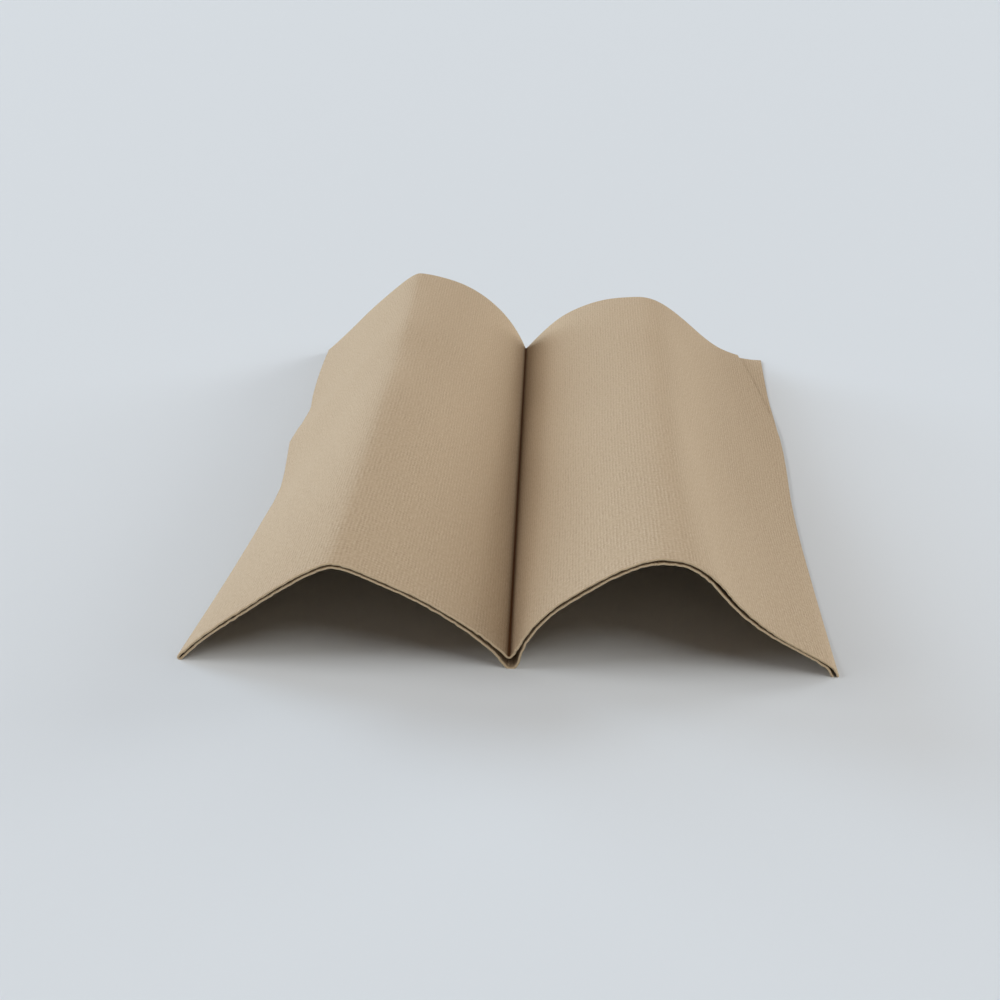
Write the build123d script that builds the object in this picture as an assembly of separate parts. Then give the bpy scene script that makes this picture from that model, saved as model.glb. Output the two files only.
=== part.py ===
from build123d import *
import os
from dataclasses import dataclass
from itertools import pairwise
from math import cos, radians, sin

# A square kraft paper napkin, folded twice to a quarter and creased once down
# the middle, standing as two arches side by side with a valley between them.
# X runs across the arches, Y runs along the crease from front to rear, Z is up.
# The origin is under the middle of the crease, on the surface it rests on.
# The first fold is the front edge, the second is the left edge, and the right
# and rear edges are raw. So each arch is an upper leaf over a lower leaf. Each
# leaf is two plies pressed together, and a thin slit parts them along the raw
# edges. All lengths are in mm.

# The sheet
sheet_side = 400.0          # opened out flat
ply = 0.27                  # one layer of embossed paper
ply_slit = 0.08             # air between the two plies of a leaf
crease_offset = 2.0         # how far the crease lies left of the middle

# The air between the upper and the lower leaf
fold_gap = 0.30             # inside the left fold
left_gap = 0.40             # over the left arch
right_gap = 0.55            # over the right arch
valley_gap = 1.30           # beside the crease
edge_gap = 0.12             # at the raw right edge
gap_fade = 9                # how quickly the gaps at the foot and the crease fade away
edge_step = 1.0             # the upper leaf overhangs the lower one at the front

# The creases
upper_crease_radius = 0.55  # of the middle of the leaf, down in the valley
lower_crease_radius = 1.30  # the lower leaf is bent less sharply
pressed = 0.12              # how much the resting lines are flattened
nose_angles = (30, 90)      # from and to, round the folded front edge, in degrees

# Sections across the arches, as shares of the depth from the front edge
section_shares = (0.0, 0.20, 0.34, 0.44, 0.54, 0.61, 0.65, 0.70, 0.80, 0.90, 1.0)
# How far each foot is pushed in from lying flat, at those sections
left_push = (16.4, 21.3, 24.1, 25.7, 24.2, 22.9, 23.7, 25.4, 24.3, 23.6, 23.6)
right_push = (22.3, 21.8, 21.2, 20.2, 18.5, 17.5, 17.0, 16.4, 16.1, 15.1, 13.9)
# How far the upper leaf's raw edge has slid back there
edge_slide = (0.0, 0.0, 0.0, 0.0, 0.0, 0.0, 0.2, 0.8, 2.8, 5.2, 9.0)

arch_steps = 30             # short straight steps along one arch of a section
foot_steps = 16             # of them lie between the foot and the crown
crown_bias = 1.4            # above one, the steps get shorter towards the crown
slit_depth = 6.0            # from the raw edges; further in, the plies are pressed together
run_out = 1.0               # by which the slit leaves the raw edges

leaf = 2 * ply + ply_slit
depth = sheet_side / 2
left_path = depth / 2 - crease_offset
right_path = depth / 2 + crease_offset


# The outline of one arch. Angles are in degrees up from the floor. A pull is
# how far the tangent at that place carries, so a short one makes a tight bend.
@dataclass
class Arch:
    foot_angle: float
    foot_pull: float
    crown_at: float         # from the crease
    outer_pull: float
    inner_pull: float
    valley_angle: float
    valley_pull: float


left_front = Arch(50, 9, 42.2, 6.0, 6.3, 50, 16)
left_rear = Arch(40, 7, 39.0, 5.0, 6.0, 69, 27)
right_front = Arch(36, 48, 35.9, 11.0, 7.0, 68, 17)
right_rear = Arch(0, 24, 40.7, 16.0, 23.5, 47, 10)


def blended(front, rear, share):
    pairs = zip(vars(front).values(), vars(rear).values())
    return Arch(*[a + (b - a) * share for a, b in pairs])


def heading(angle):
    return Vector(cos(radians(angle)), 0, sin(radians(angle)))


def arch_curve(shape, foot, valley, crown_height):
    # From the foot over the crown to the valley, with X counted from the crease
    crown = Vector(shape.crown_at, 0, crown_height)
    from_foot = foot + heading(180 - shape.foot_angle) * shape.foot_pull
    from_valley = valley + heading(shape.valley_angle) * shape.valley_pull
    outer = Edge.make_bezier(foot, from_foot, crown + Vector(shape.outer_pull), crown)
    inner = Edge.make_bezier(crown, crown - Vector(shape.inner_pull), from_valley, valley)
    return Wire([outer, inner])


def arch_of_length(shape, foot, valley, path):
    # Paper doesn't stretch, so the leaf's length sets how high the crown is
    low, high = 0.0, path
    while high - low > 0.001:
        middle = (low + high) / 2
        if arch_curve(shape, foot, valley, middle).length < path:
            low = middle
        else:
            high = middle
    return arch_curve(shape, foot, valley, high)


def gap_along(share, foot_gap, arch_gap):
    # A smooth change from the foot over the arch to the crease
    at_foot = foot_gap * (1 - share) ** gap_fade
    at_arch = arch_gap * 4 * share * (1 - share)
    at_crease = valley_gap * share ** gap_fade
    return at_foot + at_arch + at_crease


class Side:
    # One arch of a section: the middle surfaces of its two leaves
    def __init__(self, side, curve, foot_gap, arch_gap, valley_angle):
        self.side = side
        self.curve = curve
        self.crown_run = curve.order_edges()[0].length
        self.foot_gap = foot_gap
        self.arch_gap = arch_gap
        self.valley_up = heading(90 + side * valley_angle)

    def run_at(self, step, start):
        # The crown always has the same step, so the loft follows it
        if step < foot_steps:
            return self.crown_run - (self.crown_run - start) * (1 - step / foot_steps) ** crown_bias
        inner_share = (step - foot_steps) / (arch_steps - foot_steps)
        return self.crown_run + (self.curve.length - self.crown_run) * inner_share ** crown_bias

    def surface(self, is_lower, start, lift, last):
        # Points at this lift above the middle of a leaf, ending at the crease.
        # A start below zero is that far out beyond the foot.
        length = self.curve.length
        points = []
        for step in range(arch_steps):
            run = self.run_at(step, start)
            on_curve = max(run, 0.0)
            along = self.curve.tangent_at(on_curve, PositionMode.LENGTH)
            spot = self.curve.position_at(on_curve, PositionMode.LENGTH)
            spot += along * (run - on_curve)
            height = lift
            if is_lower:
                height -= leaf + gap_along(on_curve / length, self.foot_gap, self.arch_gap)
            spot += Vector(along.Z, 0, -along.X) * height
            points.append(Vector(self.side * spot.X, 0, spot.Z))
        return points + [last]


def short_steps(points):
    # They stay within 0.1 mm of the curve, and a loft between them has few facets
    return [Edge.make_line(start, end) for start, end in pairwise(points)]


class Section:
    # A cut straight across both arches at one place along the crease
    def __init__(self, index):
        share = section_shares[index]
        self.y = depth * (share - 0.5)
        left = blended(left_front, left_rear, share)
        right = blended(right_front, right_rear, share)
        self.edge_slide = edge_slide[index]
        self.edge_step = edge_step * (1 - share)
        self.set_crease(left.valley_angle, right.valley_angle)

        # The left foot is the fold
        self.fold_in = heading(left.foot_angle)
        fold_radius = (leaf + fold_gap + leaf) / 2
        fold_x = left_path - left_push[index] - fold_radius
        fold_z = fold_radius - pressed
        self.fold_centre = Vector(-fold_x, 0, fold_z)
        fold_up = heading(90 - left.foot_angle)
        left_foot = Vector(fold_x, 0, fold_z) + fold_up * (leaf + fold_gap) / 2

        # The right foot is two raw edges, one on the other
        edge_up = heading(90 - right.foot_angle)
        edge_z = (leaf + edge_gap + leaf / 2) * edge_up.Z - pressed
        edge_z -= self.edge_step * edge_up.X
        right_foot = Vector(right_path - right_push[index], 0, edge_z)

        left_curve = arch_of_length(left, left_foot, self.valley, left_path)
        right_curve = arch_of_length(right, right_foot, self.valley, right_path)
        self.left = Side(-1, left_curve, fold_gap, left_gap, left.valley_angle)
        self.right = Side(1, right_curve, edge_gap, right_gap, right.valley_angle)

    def set_crease(self, left_angle, right_angle):
        # Where the flanks of the upper leaf meet, and the centres of both bends
        half_turn = radians(left_angle + right_angle) / 2
        self.crease_up = heading(90 + (right_angle - left_angle) / 2)
        upper_rise = upper_crease_radius / cos(half_turn)
        drop = (leaf + valley_gap - lower_crease_radius) / cos(half_turn)
        lower_z = lower_crease_radius + leaf / 2 - pressed
        self.valley = Vector(0, 0, lower_z + self.crease_up.Z * drop)
        self.upper_centre = self.valley + self.crease_up * upper_rise
        self.lower_centre = self.valley - self.crease_up * drop

    def across(self, is_lower, lift, extra):
        # A leaf's surface from the right foot to the left one
        centre = self.lower_centre if is_lower else self.upper_centre
        radius = (lower_crease_radius if is_lower else upper_crease_radius) - lift
        slide = self.edge_step if is_lower else self.edge_slide
        right_end = centre - self.right.valley_up * radius
        left_end = centre - self.left.valley_up * radius
        bend = Edge.make_three_point_arc(right_end, centre - self.crease_up * radius, left_end)
        right = self.right.surface(is_lower, slide - extra, lift, right_end)
        left = self.left.surface(is_lower, 0.0, lift, left_end)
        return short_steps(right) + [bend] + short_steps(left[::-1])

    def outline(self, half, extra=0.0):
        # A band of twice this half thickness along the two leaves and the fold
        top = self.across(False, half, extra)
        bottom = self.across(True, -half, extra)
        lower_top = self.across(True, half, extra)
        upper_bottom = self.across(False, -half, extra)
        fold_middle = (leaf + fold_gap) / 2
        outer = self.fold_centre - self.fold_in * (fold_middle + half)
        inner = self.fold_centre - self.fold_in * (fold_middle - half)
        edges = list(top)
        edges += [Edge.make_three_point_arc(top[-1] @ 1, outer, bottom[-1] @ 1)]
        edges += backwards(bottom)
        edges += [Edge.make_line(bottom[0] @ 0, lower_top[0] @ 0)]
        edges += lower_top
        edges += [Edge.make_three_point_arc(lower_top[-1] @ 1, inner, upper_bottom[-1] @ 1)]
        edges += backwards(upper_bottom)
        edges += [Edge.make_line(upper_bottom[0] @ 0, top[0] @ 0)]
        return Wire(edges).moved(Location((0, self.y, 0)))


def backwards(edges):
    return [edge.reversed() for edge in reversed(edges)]


def folded_leaves(sections):
    # The first sections are the rounded nose of the folded front edge
    front = sections[0]
    half = leaf / 2
    outlines = []
    for angle in nose_angles:
        back = half * (cos(radians(nose_angles[0])) - cos(radians(angle)))
        outlines.append(front.outline(half * sin(radians(angle))).moved(Location((0, back, 0))))
    outlines += [section.outline(half) for section in sections[1:]]
    return Solid.make_loft(outlines, ruled=True)


def slit_between_plies(sections):
    # It runs out at the raw edges. Behind the slit's depth the plies are pressed
    # together, and it stops one ply behind the front fold.
    outlines = [section.outline(ply_slit / 2, run_out) for section in sections]
    outlines[0] = outlines[0].moved(Location((0, ply, 0)))
    outlines.append(outlines[-1].moved(Location((0, run_out, 0))))
    front_x = right_path - right_push[0] - slit_depth
    rear_x = right_path - right_push[-1] - edge_slide[-1] - slit_depth
    corners = [(-depth, -depth), (front_x, -depth), (rear_x, depth / 2 - slit_depth)]
    corners += [(-depth, depth / 2 - slit_depth)]
    pressed_area = Face(Wire.make_polygon([Vector(x, y, -depth) for x, y in corners]))
    return Solid.make_loft(outlines, ruled=True) - extrude(pressed_area, 2 * depth)


def build_napkin():
    sections = [Section(index) for index in range(len(section_shares))]
    below = Box(sheet_side, sheet_side, leaf, align=(Align.CENTER, Align.CENTER, Align.MAX))
    return folded_leaves(sections) - slit_between_plies(sections) - below


os.makedirs("parts", exist_ok=True)
napkin = build_napkin()
napkin.label = "napkin"
export_step(napkin, "parts/napkin.step")
print("napkin", len(napkin.solids()), "solid,", round(napkin.volume), "mm3")
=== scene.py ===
import math

import bpy
import numpy as np
from mathutils import Matrix


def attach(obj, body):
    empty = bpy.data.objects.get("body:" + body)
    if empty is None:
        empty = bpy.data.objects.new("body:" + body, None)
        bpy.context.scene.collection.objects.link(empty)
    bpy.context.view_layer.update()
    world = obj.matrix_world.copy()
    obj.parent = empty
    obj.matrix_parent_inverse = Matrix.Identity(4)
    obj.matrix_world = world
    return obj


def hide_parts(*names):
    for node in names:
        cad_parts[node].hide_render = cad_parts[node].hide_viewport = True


# A kraft paper napkin, folded twice to a quarter, then creased down the middle so that it
# stands as two arches. X runs across the arches, Y from the front fold to the raw rear
# edge, Z up. Lengths are millimetres and angles are degrees, if nothing else is said.

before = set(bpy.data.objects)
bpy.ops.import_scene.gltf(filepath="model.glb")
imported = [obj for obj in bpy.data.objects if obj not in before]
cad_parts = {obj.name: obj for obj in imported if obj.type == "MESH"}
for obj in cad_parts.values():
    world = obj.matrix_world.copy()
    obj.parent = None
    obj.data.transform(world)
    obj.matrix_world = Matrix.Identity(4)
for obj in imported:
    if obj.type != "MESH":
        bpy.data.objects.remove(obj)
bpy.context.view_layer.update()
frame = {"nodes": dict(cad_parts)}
print("frame loaded:", ", ".join(frame["nodes"]))

mm = 0.001

# Sizes and folds of the paper, the same as in the model
sheet = {
    "side": 400.0,
    "ply": 0.27,
    "plySlit": 0.08,          # air between the two plies of a leaf
    "creaseOffset": 2.0,      # the crease lies this far left of the middle
    "foldGap": 0.30,          # air between the leaves, inside the left fold
    "edgeGap": 0.12,          # at the raw right edge
    "leftGap": 0.40,          # inside each arch
    "rightGap": 0.55,
    "valleyGap": 1.30,        # at the crease
    "gapFade": 9,             # how soon the gaps at the ends of an arch close, as a power
    "edgeStep": 1.0,          # the upper leaf overhangs the lower one at the front
    "upperCreaseRadius": 0.55,
    "lowerCreaseRadius": 1.30,
    "pressed": 0.12,          # how deep the lines that rest are pressed flat
    # At these shares of the depth from the front: how far the two feet have moved in from
    # where the paper lies flat, and how far the upper leaf's right edge has slid back
    "stations": (0.0, 0.20, 0.34, 0.44, 0.54, 0.61, 0.65, 0.70, 0.80, 0.90, 1.0),
    "leftPush": (16.4, 21.3, 24.1, 25.7, 24.2, 22.9, 23.7, 25.4, 24.3, 23.6, 23.6),
    "rightPush": (22.3, 21.8, 21.2, 20.2, 18.5, 17.5, 17.0, 16.4, 16.1, 15.1, 13.9),
    "edgeSlide": (0.0, 0.0, 0.0, 0.0, 0.0, 0.0, 0.2, 0.8, 2.8, 5.2, 9.0),
}
leaf = 2 * sheet["ply"] + sheet["plySlit"]
depth = sheet["side"] / 2

# The outline of each arch, each value at the front, added at mid-depth, and at the rear.
# Pulls are how far the curve keeps its direction, as in a drawing program.
arches = {
    "left": {
        "footAngle": (50, 0, 40),
        "footPull": (9, 0, 7),
        "crownAt": (42.2, -2.4, 39.0),    # from the crease
        "outerPull": (6.0, 1.5, 5.0),
        "innerPull": (6.3, 1.5, 6.0),
        "valleyAngle": (50, 0, 69),
        "valleyPull": (16, 0, 27),
    },
    "right": {
        "footAngle": (36, 0, 0),
        "footPull": (48, 0, 24),
        "crownAt": (35.9, 0, 40.7),
        "outerPull": (11.0, 0, 16.0),
        "innerPull": (7.0, 0, 23.5),
        "valleyAngle": (68, 0, 47),
        "valleyPull": (17, 0, 10),
    },
}

# Unevenness of the real paper, on top of the folds
unevenness = {
    "wave": 0.20,             # height of the slow waves
    "waveRise": (6, 5),       # how soon they grow from the foot, and from the crease
    # Each wave's share of that, and its two sines: turn across, turn along, start, in radians
    "waves": (
        (1.0, (0.145, 0.021, 0.6), (-0.03, 0.045, 1.1)),
        (0.5, (0.31, -0.05, 0.0), (0.06, 0.083, 2.0)),
    ),
    "ridge": 0.35,            # height of the soft ridge on the right arch
    "ridgeAt": (47.0, -18.0), # where it is, across and along
    "ridgeSlant": 0.12,
    "ridgeWidth": 3.2,
    "ridgeLength": 42.0,
    "bendReach": 80.0,        # how far behind the front edge its bulges end
    "bendSoft": 1.5,          # they are smoothed over this far to each side
    "rim": 0.10,              # wobble of the front fold's edge
    "rimReach": 2.5,          # how far behind the edge that wobble ends
    "rimSpan": (-20, 420),    # from before the sheet's first edge to beyond its last
    "rimPoints": 1200,
    "seed": 11,
}

# How finely the sheet is made
fineness = {
    "curve": 140,             # points of each half of an arch's curve
    "length": 0.001,          # how exactly that curve meets the paper's length
    "arch": 190,              # columns of one arch of one leaf
    "crease": 12,             # columns round the crease of one leaf
    "fold": 24,               # columns round the left fold
    "rows": 39,               # places along the crease
    "crowding": 0.97,         # of those rows toward both edges: 0 is none, 1 is the most
    "nose": 10,               # steps round the front fold
    "insideRows": 2,          # between the plies only each second row
    "insideColumns": 4,       # and each fourth column
    "sharpAngle": 50,
}


def alongDepth(values, share):
    # A smooth curve through the values at the stations
    x = np.array(sheet["stations"])
    v = np.array(values)
    slope = np.gradient(v, x)
    k = int(np.clip(np.searchsorted(x, share) - 1, 0, len(x) - 2))
    width = x[k + 1] - x[k]
    t = (share - x[k]) / width
    rest = 1 - t
    start = (1 + 2 * t) * rest**2 * v[k] + t * rest**2 * width * slope[k]
    end = t**2 * (3 - 2 * t) * v[k + 1] - t**2 * rest * width * slope[k + 1]
    return start + end


def heading(angle):
    return np.array([math.cos(math.radians(angle)), math.sin(math.radians(angle))])


def bezier(a, b, c, d):
    t = np.linspace(0, 1, fineness["curve"])[:, None]
    return (1 - t) ** 3 * a + 3 * (1 - t) ** 2 * t * b + 3 * (1 - t) * t**2 * c + t**3 * d


def runsOf(line):
    return np.concatenate([[0], np.cumsum(np.linalg.norm(np.diff(line, axis=0), axis=1))])


def archShape(side, share):
    return {
        name: front + (rear - front) * share + middle * 4 * share * (1 - share)
        for name, (front, middle, rear) in arches[side].items()
    }


def archLine(shape, foot, valley, path):
    # From the foot over the crown to the valley. Paper doesn't stretch, so the crown's
    # height follows from the length of the path.
    fromFoot = foot + heading(180 - shape["footAngle"]) * shape["footPull"]
    fromValley = valley + heading(shape["valleyAngle"]) * shape["valleyPull"]
    low, high = 0.0, path
    while high - low > fineness["length"]:
        height = (low + high) / 2
        crown = np.array([shape["crownAt"], height])
        outer = bezier(foot, fromFoot, crown + [shape["outerPull"], 0], crown)
        inner = bezier(crown, crown - [shape["innerPull"], 0], fromValley, valley)
        line = np.vstack([outer, inner[1:]])
        if runsOf(line)[-1] < path:
            low = height
        else:
            high = height
    return line


def gapAlong(share, footGap, archGap):
    # The air between the leaves, at a share of the way from the foot to the crease
    atFoot = footGap * (1 - share) ** sheet["gapFade"]
    atArch = archGap * 4 * share * (1 - share)
    return atFoot + atArch + sheet["valleyGap"] * share ** sheet["gapFade"]


# A strand is a line through the middle of a leaf, seen from the front. Its columns are x,
# z, outward x, outward z and the share of waviness. Multiplied with it, these swap left
# and right, or turn its outward side over.
mirrored = np.array([-1, 1, -1, 1, 1])
underside = np.array([1, 1, -1, -1, -1])


def cut(strand, runs, at, keepBefore):
    # Ends the strand at a distance along it, or lets it start there
    there = np.array([[np.interp(at, runs, column) for column in strand.T]])
    if keepBefore:
        keep = runs < at
        return np.vstack([strand[keep], there]), np.append(runs[keep], at)
    keep = runs > at
    return np.vstack([there, strand[keep]]), np.append(at, runs[keep])


def evenly(strand):
    # The same strand with evenly spaced points
    runs = runsOf(strand[:, :2])
    at = np.linspace(0, runs[-1], fineness["arch"] + 1)
    return np.array([np.interp(at, runs, column) for column in strand.T]).T


def bend(centre, start, end, count, outside=1):
    # Round the centre from one point to another, by the shorter way. Outward is away from
    # the centre, or toward it where outside is -1.
    a, b = start[:2] - centre, end[:2] - centre
    turn = math.atan2(a[0] * b[1] - a[1] * b[0], a @ b)
    angles = np.linspace(0, turn, count + 1)[:, None]
    across = np.array([-a[1], a[0]])
    spokes = np.cos(angles) * a + np.sin(angles) * across
    return np.column_stack([centre + spokes, outside * spokes, np.zeros(count + 1)])


def valleyAt(leftAngle, rightAngle):
    # How the upper leaf's sharp crease sits in the lower leaf's rounder one
    half = math.radians(leftAngle + rightAngle) / 2
    up = heading(90 + (rightAngle - leftAngle) / 2)
    drop = (leaf + sheet["valleyGap"] - sheet["lowerCreaseRadius"]) / math.cos(half)
    lowerZ = sheet["lowerCreaseRadius"] + leaf / 2 - sheet["pressed"]
    corner = np.array([0, lowerZ + up[1] * drop])
    upperCentre = corner + up * sheet["upperCreaseRadius"] / math.cos(half)
    lowerCentre = corner - up * drop
    return corner, half, upperCentre, lowerCentre


def flank(arch, isLower, start):
    # One arch of one leaf from its foot to its crease, with X counted from the crease
    line = archLine(arch["shape"], arch["foot"], arch["valley"], arch["path"])
    runs = runsOf(line)
    along = np.gradient(line, runs, axis=0)
    along /= np.linalg.norm(along, axis=1)[:, None]
    up = np.column_stack([along[:, 1], -along[:, 0]])
    share = runs / runs[-1]
    footRise, creaseRise = unevenness["waveRise"]
    wave = np.clip(np.minimum(share * footRise, (1 - share) * creaseRise), 0, 1)
    if isLower:
        gap = gapAlong(share, arch["footGap"], arch["archGap"])
        line = line - up * (leaf + gap)[:, None]
        onward = leaf + sheet["valleyGap"] - sheet["lowerCreaseRadius"]
        onward *= math.tan(arch["half"])
        strand = np.column_stack([line, up, wave])
        last = strand[-1].copy()
        last[:2] -= heading(arch["shape"]["valleyAngle"]) * onward
        strand = np.vstack([strand, last])
        runs = np.append(runs, runs[-1] + onward)
    else:
        strand = np.column_stack([line, up, wave])
        stop = runs[-1] - sheet["upperCreaseRadius"] * math.tan(arch["half"])
        strand, runs = cut(strand, runs, stop, True)
    if start > 0:
        strand, runs = cut(strand, runs, start, False)
    return strand


def leafLine(share):
    # Both leaves at one place along the crease, from the upper raw edge at the right over
    # the left fold to the lower raw edge
    leftShape, rightShape = archShape("left", share), archShape("right", share)
    corner, half, upperCentre, lowerCentre = valleyAt(leftShape["valleyAngle"],
                                                      rightShape["valleyAngle"])

    foldRadius = (leaf + sheet["foldGap"] + leaf) / 2
    foldMiddle = (leaf + sheet["foldGap"]) / 2
    leftPath = depth / 2 - sheet["creaseOffset"]
    foldX = leftPath - alongDepth(sheet["leftPush"], share) - foldRadius
    foldCentre = np.array([foldX, foldRadius - sheet["pressed"]])
    left = {
        "shape": leftShape,
        "foot": foldCentre + heading(90 - leftShape["footAngle"]) * foldMiddle,
        "footGap": sheet["foldGap"],
        "archGap": sheet["leftGap"],
        "path": leftPath,
        "valley": corner,
        "half": half,
    }

    step = sheet["edgeStep"] * (1 - share)
    slide = max(0.0, alongDepth(sheet["edgeSlide"], share))
    # At the raw edge the upper leaf lies on the lower one, and its middle half a leaf higher
    edgeUp = heading(90 - rightShape["footAngle"])
    rightPath = depth / 2 + sheet["creaseOffset"]
    edgeX = rightPath - alongDepth(sheet["rightPush"], share)
    edgeZ = (1.5 * leaf + sheet["edgeGap"]) * edgeUp[1] - sheet["pressed"] - step * edgeUp[0]
    right = {
        "shape": rightShape,
        "foot": np.array([edgeX, edgeZ]),
        "footGap": sheet["edgeGap"],
        "archGap": sheet["rightGap"],
        "path": rightPath,
        "valley": corner,
        "half": half,
    }

    upperRight = flank(right, False, slide)
    upperLeft = flank(left, False, 0.0)[::-1] * mirrored
    lowerLeft = flank(left, True, 0.0) * mirrored * underside
    lowerRight = flank(right, True, step)[::-1] * underside
    centre = foldCentre * [-1, 1]
    tip = centre - heading(leftShape["footAngle"]) * foldMiddle
    halfFold = fineness["fold"] // 2
    parts = [
        evenly(upperRight),
        bend(upperCentre, upperRight[-1], upperLeft[0], fineness["crease"], -1),
        evenly(upperLeft),
        bend(centre, upperLeft[-1], tip, halfFold),
        bend(centre, tip, lowerLeft[0], halfFold),
        evenly(lowerLeft),
        bend(lowerCentre, lowerLeft[-1], lowerRight[0], fineness["crease"]),
        evenly(lowerRight),
    ]
    whole = np.vstack([parts[0]] + [part[1:] for part in parts[1:]])
    whole[:, 2:4] /= np.linalg.norm(whole[:, 2:4], axis=1)[:, None]
    return whole


# How far the right arch bulges or sags at the front. First the distance along the paper
# from the raw edge, then how far the leaves stand out there.
frontBend = (
    (0, 0), (1, 0.7), (2.5, 1.25), (4.5, 1.15), (7, 0.9), (9, 0.7), (11, 0.5), (13.5, 0.05),
    (16, -0.3), (18, -0.55), (21, -0.85), (25, -0.85), (30, -0.6), (33, -0.2), (35, 0.1),
    (38, 0.55), (41, 1.0), (44, 0.9), (48, 0.75), (52, 0.78), (56, 0.85), (62, 0.62), (67, 0.6),
    (72, 0.42), (77, 0.45), (82, 0.58), (88, 0.5), (92, 0.3), (95, -0.1), (98, -0.5),
    (100, -0.45), (102, 0),
)

draw = np.random.default_rng(unevenness["seed"])
rimNoise = np.convolve(draw.normal(size=unevenness["rimPoints"]), [0.25, 0.5, 0.25], "same")


def waviness(x, y):
    # Slow waves that run roughly along the arches, and one soft ridge
    waves = 0
    for height, first, second in unevenness["waves"]:
        both = [np.sin(turn[0] * x + turn[1] * y + turn[2]) for turn in (first, second)]
        waves = waves + height * both[0] * both[1]
    ridgeX, ridgeY = unevenness["ridgeAt"]
    across = (x - ridgeX + unevenness["ridgeSlant"] * (y - ridgeY)) / unevenness["ridgeWidth"]
    along = (y - ridgeY) / unevenness["ridgeLength"]
    ridge = np.exp(-across**2) * np.exp(-along**2)
    return unevenness["wave"] * waves + unevenness["ridge"] * ridge


def frontLift(flat, y):
    # Both leaves bulge the same way, and the lower one's outward side is its underside
    fromEdge = np.where(flat < depth, flat, 2 * depth - flat)
    places, lifts = np.array(frontBend).T
    soft = unevenness["bendSoft"]
    near = [np.interp(fromEdge + shift, places, lifts) for shift in np.linspace(-soft, soft, 5)]
    lift = np.minimum(fromEdge, 1) * sum(near) / len(near)
    fade = np.clip(1 - (y + depth / 2) / unevenness["bendReach"], 0, 1) ** 2
    return np.where(flat < depth, 1, -1) * lift * fade


def rimWobble(flat, y):
    # The embossed paper shows at the front fold as a slightly bumpy edge
    near = max(0.0, 1 - (y + depth / 2) / unevenness["rimReach"])
    at = np.interp(flat, np.linspace(*unevenness["rimSpan"], len(rimNoise)), rimNoise)
    return unevenness["rim"] * near * at


foldColumn = 2 * fineness["arch"] + fineness["crease"] + fineness["fold"] // 2
lines = {}    # the line of both leaves at each place, worked out once


def leafRow(y, out, forward):
    # x, y, z and the flat place on the sheet of each point of a row
    if y not in lines:
        lines[y] = leafLine((y + depth / 2) / depth)
    line = lines[y]
    x, z = line[:, 0], line[:, 1]
    runs = runsOf(line[:, :2])
    flat = runs - runs[foldColumn] + depth
    lift = out + line[:, 4] * waviness(x, y) + rimWobble(flat, y) + frontLift(flat, y)
    return np.column_stack([x + line[:, 2] * lift, np.full(len(x), y - forward),
                            np.maximum(z + line[:, 3] * lift, 0.0), flat])


def rowsAlong():
    # Places along the crease for one ply, from the rear edge to the nose, closer together
    # at both edges
    share = np.linspace(0, 1, fineness["rows"])
    eased = share - fineness["crowding"] * np.sin(2 * np.pi * share) / (2 * np.pi)
    return depth / 2 - eased * (depth - leaf / 2)


def noseTurns(whole):
    # The steps round the front fold, without the first and the last
    return np.linspace(0, whole, fineness["nose"] + 1)[1:-1]


def sheetSurface(half, rows):
    # One face of the sheet: out from the middle of the leaf by half, forwards round the
    # nose and back on the other side
    places = [(y, 1.0, 0.0) for y in rows]
    places += [(rows[-1], math.cos(turn), math.sin(turn)) for turn in noseTurns(math.pi)]
    places += [(y, -1.0, 0.0) for y in rows[::-1]]
    return np.array([leafRow(y, half * out, half * forward) for y, out, forward in places])


def rowPlaces(rows):
    # How far along the flat sheet each row is
    onPly = depth / 2 - rows
    length = onPly[-1]
    nose = length + (depth - length) * 2 * noseTurns(1)
    return np.concatenate([onPly, nose, sheet["side"] - onPly[::-1]])


def quads(grid):
    corners = np.stack([grid[:-1, :-1], grid[:-1, 1:], grid[1:, 1:], grid[1:, :-1]], -1)
    return corners.reshape(-1, 4).tolist()


def rim(fine, coarse, step, flip=False):
    # Closes the sheet's edge between its two faces
    closed = []
    for k in range(len(coarse) - 1):
        face = list(fine[k * step:(k + 1) * step + 1]) + [coarse[k + 1], coarse[k]]
        face = [int(index) for index in face]
        closed.append(face if flip else face[::-1])
    return closed


# Unbleached kraft tissue, rolled between linen-patterned steel rollers: matt, soft brown, with
# fine ribs that catch the light, and longer fibres a little darker or paler. Painted shade darkens
# the crease to dark brown, and a painted highlight makes the tip of the front fold paler.
paper = {
    "base": "#b9a58a",
    "shade": "#a8937a",
    "fibre": "#c9b79c",
    # Painted shade along the crease, darkest at its middle
    "crease": "#563415",
    "creaseShadeReach": 1.25,       # of the crease's painted shade to each side
    # Painted highlight on the tip of the front fold, where its edge faces the light
    "paintedNoseLight": "#dac6a4",
    "ribPitch": 0.90,         # of the embossed lines, both ways
    "ribDepth": 0.027,
    "crossRibs": 0.6,         # the second set of lines against the first
    "driftPerMm": 0.5,        # how finely the lines wander
    "drift": 5.0,             # and how far, in radians
    "pressPerMm": 0.22,       # how finely the pressing varies
    "press": (0.35, 1.25),    # its least and most
    "pressNoise": (0.35, 0.65),    # and where in the noise these are reached
    "fibresPerMm": 1.1,
    "fibreNoise": (0.3, 0.7), # where they are darkest and palest
    "fibreHeight": 4.0,       # against the lines
    "roughness": 0.95,
}


def marks(outer):
    # Painted shade along the upper leaf's crease, and a painted highlight on the tip of the front
    # fold
    creaseColumn = fineness["arch"] + fineness["crease"] // 2
    away = outer[..., 3] - outer[:, creaseColumn:creaseColumn + 1, 3]
    paintedCreaseShade = np.exp(-(away / paper["creaseShadeReach"]) ** 2)
    onPly = np.zeros(fineness["rows"])
    paintedNoseLight = np.concatenate([onPly, np.sin(noseTurns(math.pi)), onPly])
    return {"paintedCreaseShade": paintedCreaseShade, "paintedNoseLight": np.repeat(paintedNoseLight[:, None], outer.shape[1], 1)}


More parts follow.
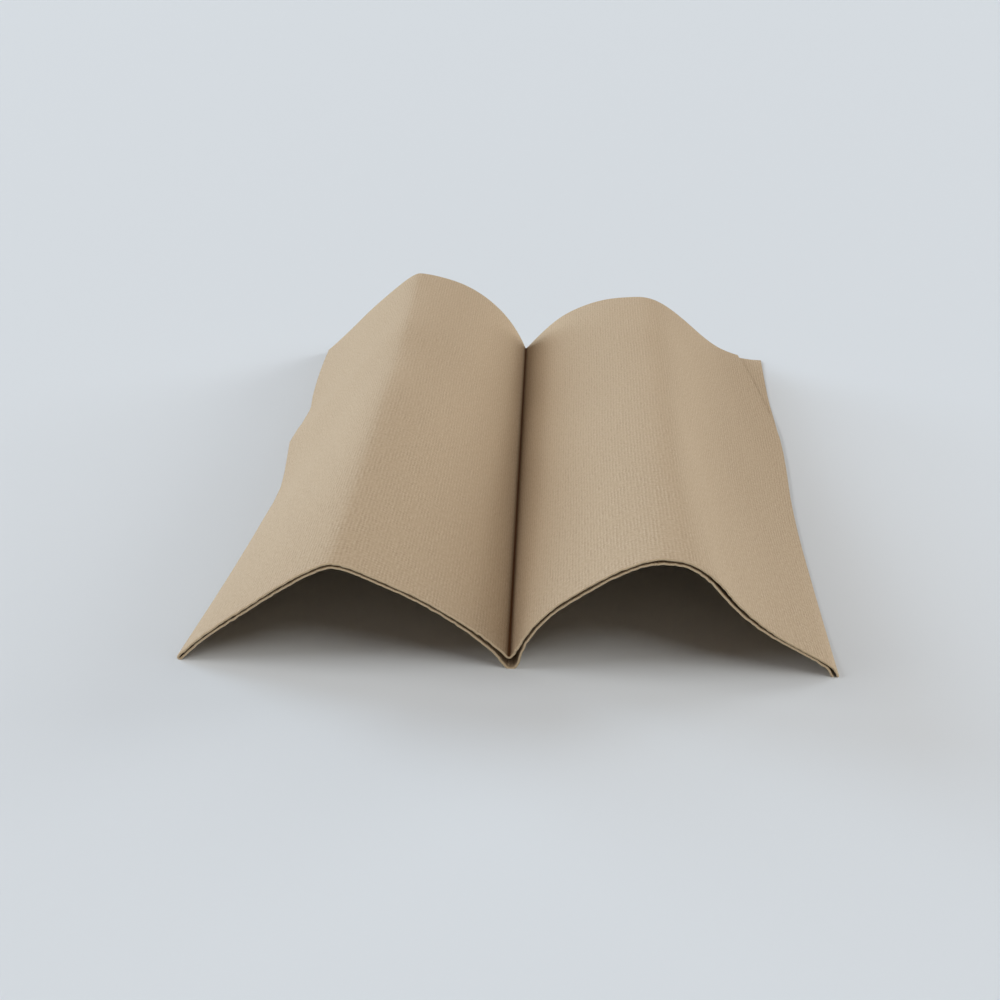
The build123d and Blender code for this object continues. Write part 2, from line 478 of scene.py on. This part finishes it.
def makeNapkin():
    rows = rowsAlong()
    outer = sheetSurface(leaf / 2, rows)
    inner = sheetSurface(sheet["plySlit"] / 2, rows)
    rowStep, columnStep = fineness["insideRows"], fineness["insideColumns"]
    inner = inner[::rowStep, ::columnStep]
    print("napkin grid", outer.shape, "inside", inner.shape)

    points = np.vstack([outer[..., :3].reshape(-1, 3), inner[..., :3].reshape(-1, 3)]) * mm
    rowFlat = np.repeat(rowPlaces(rows)[:, None], outer.shape[1], 1)
    flatOuter = np.dstack([outer[..., 3], rowFlat])
    flatInner = flatOuter[::rowStep, ::columnStep]
    flat = np.vstack([flatOuter.reshape(-1, 2), flatInner.reshape(-1, 2)]) / sheet["side"]

    a = np.arange(outer[..., 0].size).reshape(outer.shape[:2])
    b = a.size + np.arange(inner[..., 0].size).reshape(inner.shape[:2])
    faces = quads(a) + [face[::-1] for face in quads(b)]
    faces += rim(a[0], b[0], columnStep) + rim(a[-1], b[-1], columnStep, True)
    faces += rim(a[:, 0], b[:, 0], rowStep, True) + rim(a[:, -1], b[:, -1], rowStep)
    mesh = bpy.data.meshes.new("napkin_sheet")
    mesh.from_pydata(points.tolist(), [], faces)
    uv = mesh.uv_layers.new(name="flatSheet")
    loops = np.empty(len(mesh.loops), np.int32)
    mesh.loops.foreach_get("vertex_index", loops)
    uv.data.foreach_set("uv", flat[loops].astype(np.float32).ravel())
    for name, values in marks(outer).items():
        mark = mesh.attributes.new(name, "FLOAT", "POINT")
        padded = np.concatenate([values.ravel(), np.zeros(len(points) - values.size)])
        mark.data.foreach_set("value", padded.astype(np.float32))
    mesh.validate()
    mesh.shade_smooth()
    mesh.set_sharp_from_angle(angle=math.radians(fineness["sharpAngle"]))
    napkin = bpy.data.objects.new("napkin_sheet", mesh)
    bpy.context.scene.collection.objects.link(napkin)
    return napkin


napkin = makeNapkin()
print("napkin made,", len(napkin.data.polygons), "faces")


def colour(code):
    # An sRGB hex code as the linear values that Blender takes
    parts = [int(code[k:k + 2], 16) / 255 for k in (1, 3, 5)]
    return [c / 12.92 if c <= 0.04045 else ((c + 0.055) / 1.055) ** 2.4 for c in parts] + [1]


def addNode(tree, kind, settings=None, links=None):
    node = tree.nodes.new(kind)
    for name, value in (settings or {}).items():
        if name in node.bl_rna.properties:
            setattr(node, name, value)
        else:
            node.inputs[name].default_value = value
    for name, source in (links or {}).items():
        tree.links.new(source, node.inputs[name])
    return node


def calculate(tree, operation, *values, clamp=False):
    # A math node. A value is a number or another node's output.
    node = addNode(tree, "ShaderNodeMath", {"operation": operation, "use_clamp": clamp})
    for socket, value in zip(node.inputs, values):
        if isinstance(value, bpy.types.NodeSocket):
            tree.links.new(value, socket)
        else:
            socket.default_value = value
    return node.outputs[0]


def addNoise(tree, place, perMm, detail, roughness):
    settings = {"Scale": perMm, "Detail": detail, "Roughness": roughness, "noise_dimensions": "2D"}
    return addNode(tree, "ShaderNodeTexNoise", settings, {"Vector": place}).outputs["Fac"]


def mapRange(tree, value, fromMin, fromMax, toMin=0.0, toMax=1.0):
    settings = {"From Min": fromMin, "From Max": fromMax, "To Min": toMin, "To Max": toMax}
    return addNode(tree, "ShaderNodeMapRange", settings, {"Value": value}).outputs["Result"]


def newMaterial(name):
    material = bpy.data.materials.new(name)
    material.use_nodes = True
    material.node_tree.nodes.clear()
    return material, material.node_tree


def embossedKraftTissue():
    material, tree = newMaterial("embossed_kraft_tissue")
    flat = addNode(tree, "ShaderNodeUVMap", {"uv_map": "flatSheet"})
    place = addNode(tree, "ShaderNodeVectorMath", {"operation": "SCALE", "Scale": sheet["side"]},
                    {"Vector": flat.outputs["UV"]}).outputs["Vector"]
    apart = addNode(tree, "ShaderNodeSeparateXYZ", None, {"Vector": place})

    # The threads of the linen pattern wander a little, and it is pressed deeper in places
    drift = addNoise(tree, place, paper["driftPerMm"], 2.0, 0.5)
    wander = calculate(tree, "MULTIPLY", drift, paper["drift"])
    press = addNoise(tree, place, paper["pressPerMm"], 3.0, 0.5)
    pressed = mapRange(tree, press, *paper["pressNoise"], *paper["press"])
    turn = 2 * math.pi / paper["ribPitch"]
    ribs = []
    for axis in ("X", "Y"):
        turns = calculate(tree, "MULTIPLY_ADD", apart.outputs[axis], turn, wander)
        ribs.append(calculate(tree, "SINE", turns))
    linen = calculate(tree, "MULTIPLY_ADD", ribs[1], paper["crossRibs"], ribs[0])
    linen = calculate(tree, "MULTIPLY", linen, pressed)
    fibres = addNoise(tree, place, paper["fibresPerMm"], 5.0, 0.7)
    height = calculate(tree, "MULTIPLY_ADD", fibres, paper["fibreHeight"], linen)
    bump = addNode(tree, "ShaderNodeBump", {"Strength": 1.0, "Distance": paper["ribDepth"] * mm},
                   {"Height": height})

    # The furrows of the pattern hold a little shade
    highest = 1 + paper["crossRibs"]
    furrow = mapRange(tree, linen, -highest, highest)
    speckle = mapRange(tree, fibres, *paper["fibreNoise"])
    half = calculate(tree, "MULTIPLY", calculate(tree, "ADD", furrow, speckle), 0.5)
    tone = addNode(tree, "ShaderNodeValToRGB", None, {"Fac": half})
    stops = tone.color_ramp.elements
    stops[0].color = colour(paper["shade"])
    stops[1].color = colour(paper["fibre"])
    stops.new(0.5).color = colour(paper["base"])

    paint = tone.outputs["Color"]
    # Painted shade along the crease, then a painted highlight on the front fold's tip
    for name, code in (("paintedCreaseShade", paper["crease"]), ("paintedNoseLight", paper["paintedNoseLight"])):
        mark = addNode(tree, "ShaderNodeAttribute", {"attribute_name": name})
        mix = addNode(tree, "ShaderNodeMix", {"data_type": "RGBA"})
        factor, first, second = mix.inputs[0], mix.inputs[6], mix.inputs[7]
        tree.links.new(mark.outputs["Fac"], factor)
        tree.links.new(paint, first)
        second.default_value = colour(code)
        paint = mix.outputs[2]

    shader = addNode(tree, "ShaderNodeBsdfPrincipled",
                     {"Roughness": paper["roughness"], "IOR": 1.45, "Specular IOR Level": 0.2},
                     {"Base Color": paint, "Normal": bump.outputs["Normal"]})
    addNode(tree, "ShaderNodeOutputMaterial", None, {"Surface": shader.outputs["BSDF"]})
    return material


napkin.data.materials.append(embossedKraftTissue())
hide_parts("napkin")
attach(napkin, "root")
print("paper finished")

# The view of the photograph, fitted to its outline
view = {
    "place": (0.0062, -0.3645, 0.1899),    # in metres
    "down": 28.42,
    "turn": -1.89,
    "roll": 0.45,
    "lens": 47.72,
    "sensor": 36.0,
    "nearest": 10.0,
}


def makeCamera():
    down, turn, roll = (math.radians(view[name]) for name in ("down", "turn", "roll"))
    level = np.array([math.cos(turn), -math.sin(turn), 0.0])
    forward = np.array([math.sin(turn), math.cos(turn), 0.0])
    ahead = forward * math.cos(down) - [0.0, 0.0, math.sin(down)]
    upright = np.cross(level, ahead)
    right = math.cos(roll) * level + math.sin(roll) * upright
    up = np.cross(right, ahead)
    turned = np.column_stack([right, up, -ahead])
    camera = bpy.data.objects.new("camera", bpy.data.cameras.new("camera"))
    camera.data.lens = view["lens"]
    camera.data.sensor_width = view["sensor"]
    camera.data.clip_start = view["nearest"] * mm
    placed = Matrix(turned.tolist()).to_4x4()
    placed.translation = view["place"]
    camera.matrix_world = placed
    bpy.context.scene.collection.objects.link(camera)
    bpy.context.scene.camera = camera


makeCamera()

# A plain pale floor of matt card and soft studio light
studio = {
    "floorSide": 8.0,         # in metres
    "floor": "#d9dfe3",
    "backdrop": "#dbe1e6",    # what is seen beyond the floor, which gives the paper no light
    "room": 0.12,
    "roomTint": "#ffe0d2",
    "softness": 28,
    # From above, the bearing is 0 behind the napkin and 90 at its right. A level of 1 shows
    # a colour that faces the lamp about as written.
    "lamps": {
        "windowLow": {"bearing": 300, "height": 14, "level": 0.72, "tint": "#dbedff"},
        "windowHigh": {"bearing": 270, "height": 35, "level": 0.43, "tint": "#ffffff"},
        "rightLow": {"bearing": 60, "height": 14, "level": 0.46, "tint": "#f4faff"},
        "rightHigh": {"bearing": 90, "height": 35, "level": 0.23, "tint": "#ffffff"},
        "ceiling": {"bearing": 135, "height": 62, "level": 0.24, "tint": "#fffdf8"},
    },
}


def makeFloor():
    half = studio["floorSide"] / 2
    mesh = bpy.data.meshes.new("floor")
    corners = [(-half, -half, 0), (half, -half, 0), (half, half, 0), (-half, half, 0)]
    mesh.from_pydata(corners, [], [(0, 1, 2, 3)])
    floor = bpy.data.objects.new("floor", mesh)
    bpy.context.scene.collection.objects.link(floor)
    material, tree = newMaterial("matt_studio_card")
    card = {"Base Color": colour(studio["floor"]), "Roughness": 0.8, "Specular IOR Level": 0.2}
    shader = addNode(tree, "ShaderNodeBsdfPrincipled", card)
    addNode(tree, "ShaderNodeOutputMaterial", None, {"Surface": shader.outputs["BSDF"]})
    mesh.materials.append(material)


def makeLamps():
    for name, lamp in studio["lamps"].items():
        data = bpy.data.lights.new(name, "SUN")
        data.energy = math.pi * lamp["level"]
        data.angle = math.radians(studio["softness"])
        data.color = colour(lamp["tint"])[:3]
        light = bpy.data.objects.new(name, data)
        tilt, turn = math.radians(90 - lamp["height"]), math.radians(180 - lamp["bearing"])
        light.rotation_euler = (tilt, 0, turn)
        bpy.context.scene.collection.objects.link(light)


def makeRoom():
    # The room lights the napkin faintly. Straight on or in a reflection the backdrop is seen.
    world = bpy.data.worlds.new("studio")
    bpy.context.scene.world = world
    world.use_nodes = True
    tree = world.node_tree
    tree.nodes.clear()
    sides = []
    for tint, strength in ((studio["roomTint"], studio["room"]), (studio["backdrop"], 1.0)):
        side = addNode(tree, "ShaderNodeBackground", {"Color": colour(tint), "Strength": strength})
        sides.append(side.outputs["Background"])
    path = addNode(tree, "ShaderNodeLightPath").outputs
    seen = calculate(tree, "ADD", path["Is Camera Ray"], path["Is Glossy Ray"])
    seen = calculate(tree, "ADD", seen, path["Is Transmission Ray"], clamp=True)
    sky = addNode(tree, "ShaderNodeMixShader", None, {0: seen, 1: sides[0], 2: sides[1]})
    addNode(tree, "ShaderNodeOutputWorld", None, {"Surface": sky.outputs["Shader"]})


makeFloor()
makeLamps()
makeRoom()
bpy.context.scene.view_settings.view_transform = "Standard"
print("camera and studio ready")
